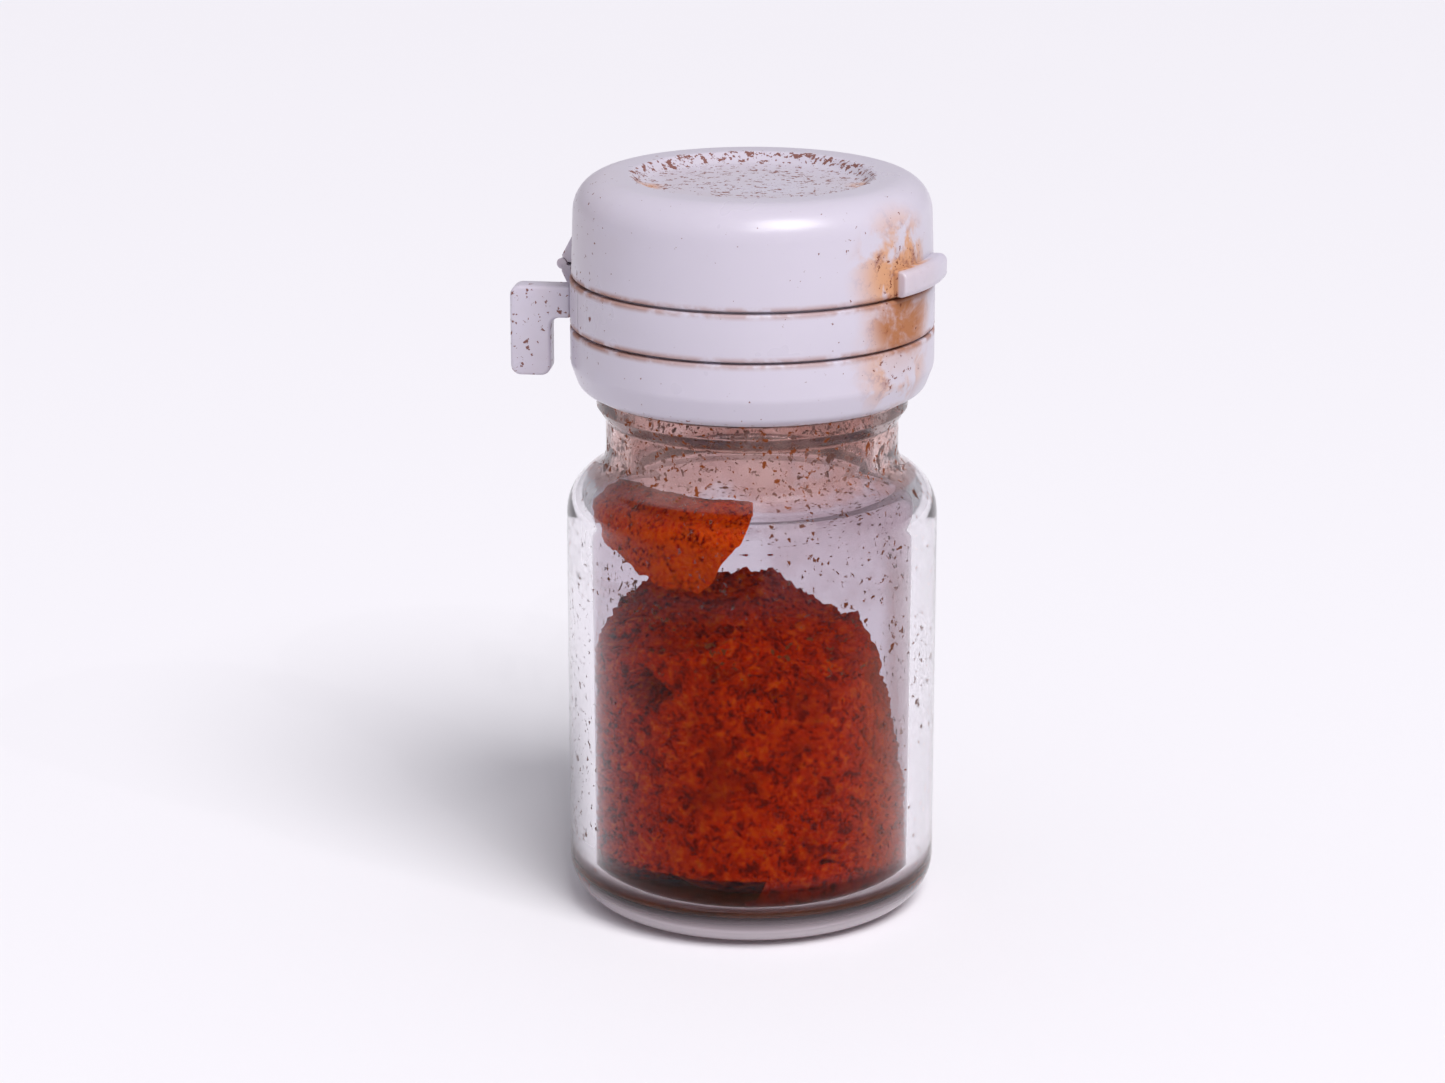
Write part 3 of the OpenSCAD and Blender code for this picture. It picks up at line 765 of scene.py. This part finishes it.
class VIAL_OT_ring(bpy.types.Operator):
    """Build the collar, the tear strip and its leader"""
    bl_idname = "vial.ring"
    bl_label = "Collar and strip"

    def execute(self, context):
        _, cap, _ = settings()
        mat = material("cap_plastic", plastic_material, cap)
        low, high = COLLAR[0].z, COLLAR[1].z
        bead, lip = BODY_R - 1.1 * MM, BODY_R - 1.7 * MM
        e = cap.edge
        outline = rounded([(CAP_R - 1.15 * MM, low, 0.1 * MM), (CAP_R - 0.5 * MM, low + 0.35 * MM, 0.8 * MM),
                           (CAP_R, low + 1.7 * MM, 1.2 * MM),
                           (CAP_R, high, e * 1.4), (lip, high, e), (lip, RIM_Z - 3.41 * MM, e),
                           (bead, RIM_Z - 3.87 * MM, e), (bead, RIM_Z - 5.72 * MM, e),
                           (CAP_R - 1.33 * MM, low, 0.05 * MM)], 6)
        finished(spin_profile(outline, True, steps=224), "cap_collar", "cap", mat, ["collar"])
        gap = math.degrees((STRIP[0].z - high) / CAP_R)
        low, high = STRIP[0].z, STRIP[1].z
        inner = CAP_R - 1.2 * MM
        outline = rounded([(inner, low, e), (CAP_R, low, e * 1.4), (CAP_R, high, e * 1.4),
                           (inner, high, e)], 5)
        turn = math.degrees(0.05 * MM / CAP_R)
        end = HINGE_AT + 360 - STRAP_A / 2 - gap
        bm = soften(spin_profile(outline, True, FOLD_AT + turn, end, 200), 60, 0.08 * MM)
        finished(bm, "strip", "cap", mat, ["tear_strip"])
        bm = soften(spin_profile(outline, True, HINGE_AT + STRAP_A / 2 + gap, FOLD_AT, 24), 60, 0.08 * MM)
        finished(bm, "leader", "tab", mat, ["strip_leader"])
        return {"FINISHED"}


class VIAL_OT_lid(bpy.types.Operator):
    """Build the lid with its dish, the thumb ledge and the plug seal"""
    bl_idname = "vial.lid"
    bl_label = "Lid"

    def execute(self, context):
        _, cap, _ = settings()
        mat = material("cap_plastic", plastic_material, cap)
        low, high = LID[0].z, LID[1].z
        lid_r = CAP_R - 0.08 * MM
        top_r = lid_r - 0.2 * MM
        ceiling = PLUG[1].z
        e = cap.edge
        floor_z = high - cap.dish_depth
        outline = rounded([(0, floor_z, 0), (cap.dish - 0.7 * MM, floor_z, 0.9 * MM),
                           (cap.dish, high, 0.5 * MM),
                           (top_r, high, cap.top_round), (lid_r, low, e * 1.4), (lid_r - cap.wall, low, e),
                           (lid_r - cap.wall, ceiling - 0.9 * MM, 0.5 * MM),
                           (lid_r - 2 * cap.wall, ceiling, 0.4 * MM),
                           (0, ceiling, 0)], 12)
        finished(spin_profile(outline, False, steps=224), "lid_shell", "lid", mat, ["lid"])
        lift, reach = LEDGE[0].z, CAP_R - 0.08 * MM + 0.85 * MM
        outline = rounded([(top_r - 0.1 * MM, lift, 0), (reach, lift, 0.45 * MM),
                           (reach, LEDGE[1].z, 0.45 * MM),
                           (top_r - 0.1 * MM, LEDGE[1].z, 0)], 6)
        bm = soften(spin_profile(outline, True, LEDGE_FROM, LEDGE_TO, 40), 60, 0.4 * MM, 5)
        finished(bm, "ledge", "lid", mat, ["thumb_ledge"])
        r, wall, tip = PLUG[1].x, 1.2 * MM, PLUG[0].z
        outline = rounded([(r - wall, ceiling, 0), (r - wall, tip, 0.25 * MM),
                           (r - 0.22 * MM, tip, 0.25 * MM),
                           (r, RIM_Z - 0.4 * MM, 0.3 * MM), (r, ceiling, 0)], 6)
        finished(spin_profile(outline, True, steps=160), "plug", "lid", mat, ["plug_seal"])
        return {"FINISHED"}


class VIAL_OT_tab(bpy.types.Operator):
    """Build the hanging pull tab"""
    bl_idname = "vial.tab"
    bl_label = "Pull tab"

    def execute(self, context):
        _, cap, _ = settings()
        mat = material("cap_plastic", plastic_material, cap)
        low, high = TAB[0].z, TAB[1].z
        outer, leg = CAP_R + 3.6 * MM, CAP_R + 1.2 * MM
        arm = STRIP[0].z
        inner = CAP_R - 0.03 * MM
        outline = rounded([(inner, arm, 0), (leg, arm, 0.55 * MM), (leg, low, 0.6 * MM),
                           (outer, low, 0.6 * MM),
                           (outer, high, 0.6 * MM), (inner, high, 0)], 7)
        bm = soften(prism(outline, cap.tab, TAB_AT), 60, 0.22 * MM, 4)
        finished(bm, "tab", "tab", mat, ["pull_tab"])
        return {"FINISHED"}


class VIAL_OT_films(bpy.types.Operator):
    """Build the hinge lug and give the films and the hinge strap their plastic"""
    bl_idname = "vial.films"
    bl_label = "Films and hinge"

    def execute(self, context):
        _, cap, _ = settings()
        mat = material("cap_plastic", plastic_material, cap)
        joint = next(j for j in frame["joints"] if j["name"] == "lid_hinge")
        hinge = Vector(joint["pos_m"])
        hinge_r, hinge_z = Vector((hinge.x, hinge.y)).length, hinge.z
        film = 0.32 * MM
        skin = 0.05 * MM
        wall = hinge_r - CAP_R + 0.08 * MM
        arc = []
        for a in range(161, 90, -9):
            turn = math.radians(a)
            arc.append((hinge_r + (film + skin) * math.cos(turn), hinge_z + (film + skin) * math.sin(turn)))
        outline = [Vector(p) for p in ([(hinge_r - wall - 0.3 * MM, hinge_z + 0.08 * MM)] + arc +
                                       [(hinge_r, hinge_z + film * 1.6),
                                        (hinge_r - wall * 0.93, hinge_z + 1.9 * MM),
                                        (hinge_r - wall - 0.3 * MM, hinge_z + 1.9 * MM)])]
        bm = soften(prism(outline, 4.0 * MM, HINGE_AT), 70, 0.06 * MM)
        finished(bm, "hinge_lug", "lid", mat, [])
        for name in ("lower_membrane", "upper_membrane", "hinge_strap", "film_hinge"):
            mesh = frame["nodes"][name].data
            mesh.materials.clear()
            mesh.materials.append(mat)
        return {"FINISHED"}


# where the small lights stand that make the glints
GLINTS = ((0.01, -0.30, 0.29), (0.022, -0.30, 0.27), (0.13, -0.28, 0.30), (0.24, -0.20, 0.30))


class VIAL_OT_stage(bpy.types.Operator):
    """Set up the camera, the floor and the light"""
    bl_idname = "vial.stage"
    bl_label = "Stage"

    def execute(self, context):
        scene, s = context.scene, context.scene.vial_stage
        aim = Vector((-1.75 * MM, 0, 22 * MM))
        data = bpy.data.cameras.new("camera")
        data.lens, data.clip_start, data.clip_end = s.lens, 0.01, 20
        cam = bpy.data.objects.new("camera", data)
        scene.collection.objects.link(cam)
        away = Vector((0, -math.cos(s.elevation), math.sin(s.elevation)))
        cam.location = aim + away * s.distance
        cam.rotation_euler = (-away).to_track_quat("-Z", "Y").to_euler()
        scene.camera = cam
        bm = bmesh.new()
        bmesh.ops.create_circle(bm, cap_ends=True, segments=96, radius=3.0)
        mesh = bpy.data.meshes.new("floor")
        bm.to_mesh(mesh)
        bm.free()
        floor = bpy.data.objects.new("floor", mesh)
        scene.collection.objects.link(floor)
        n = Net("floor")
        tone = n.mix(n.noise(6, 2), tuple(s.floor), tuple(c * 0.985 for c in s.floor))
        mesh.materials.append(n.set(Base_Color=tone, Roughness=0.7, Specular_IOR_Level=0.2))
        world = bpy.data.worlds.new("studio")
        world.use_nodes = True
        back = world.node_tree.nodes["Background"]
        back.inputs[0].default_value = (0.95, 0.93, 1.0, 1)
        back.inputs[1].default_value = s.world
        scene.world = world
        sun = bpy.data.lights.new("key", "SUN")
        sun.energy, sun.angle, sun.color = s.key, math.radians(32), (1.0, 0.985, 1.0)
        lamp = bpy.data.objects.new("key", sun)
        lamp.rotation_euler = Vector((0.36, -0.62, 0.95)).to_track_quat("Z", "Y").to_euler()
        scene.collection.objects.link(lamp)
        for i, spot in enumerate(GLINTS):
            light = bpy.data.lights.new(f"glint_{i}", "AREA")
            light.energy, light.size, light.color = 0.05, 0.003, (1.0, 0.985, 1.0)
            lamp = bpy.data.objects.new(f"glint_{i}", light)
            lamp.location = spot
            lamp.rotation_euler = (Vector(spot) - aim).to_track_quat("Z", "Y").to_euler()
            scene.collection.objects.link(lamp)
        scene.view_settings.view_transform = "Standard"
        return {"FINISHED"}


class VIAL_PT_panel(bpy.types.Panel):
    """Sidebar panel of the vial"""
    bl_idname = "VIAL_PT_panel"
    bl_label = "Powder Sample Vial"
    bl_space_type = "VIEW_3D"
    bl_region_type = "UI"
    bl_category = "Vial"

    def draw(self, context):
        for group in GROUPS:
            box = self.layout.box()
            box.label(text=group.capitalize())
            data = getattr(context.scene, "vial_" + group)
            for key in data.bl_rna.properties.keys():
                if key not in ("rna_type", "name"):
                    box.prop(data, key)
        for op in OPERATORS:
            self.layout.operator(op.bl_idname)


GROUPS = {"glass": VIAL_PG_glass, "cap": VIAL_PG_cap, "powder": VIAL_PG_powder, "stage": VIAL_PG_stage}
OPERATORS = (VIAL_OT_stage, VIAL_OT_glass, VIAL_OT_powder, VIAL_OT_ring, VIAL_OT_lid, VIAL_OT_tab,
             VIAL_OT_films)


def register():
    for cls in (*GROUPS.values(), *OPERATORS, VIAL_PT_panel):
        bpy.utils.register_class(cls)
    for name, cls in GROUPS.items():
        setattr(bpy.types.Scene, "vial_" + name, bpy.props.PointerProperty(type=cls))


def unregister():
    for name in GROUPS:
        delattr(bpy.types.Scene, "vial_" + name)
    for cls in (VIAL_PT_panel, *reversed(OPERATORS), *reversed(GROUPS.values())):
        bpy.utils.unregister_class(cls)


def main():
    register()
    for op in OPERATORS:
        getattr(bpy.ops.vial, op.bl_idname.split(".")[1])()


if __name__ == "__main__":
    main()
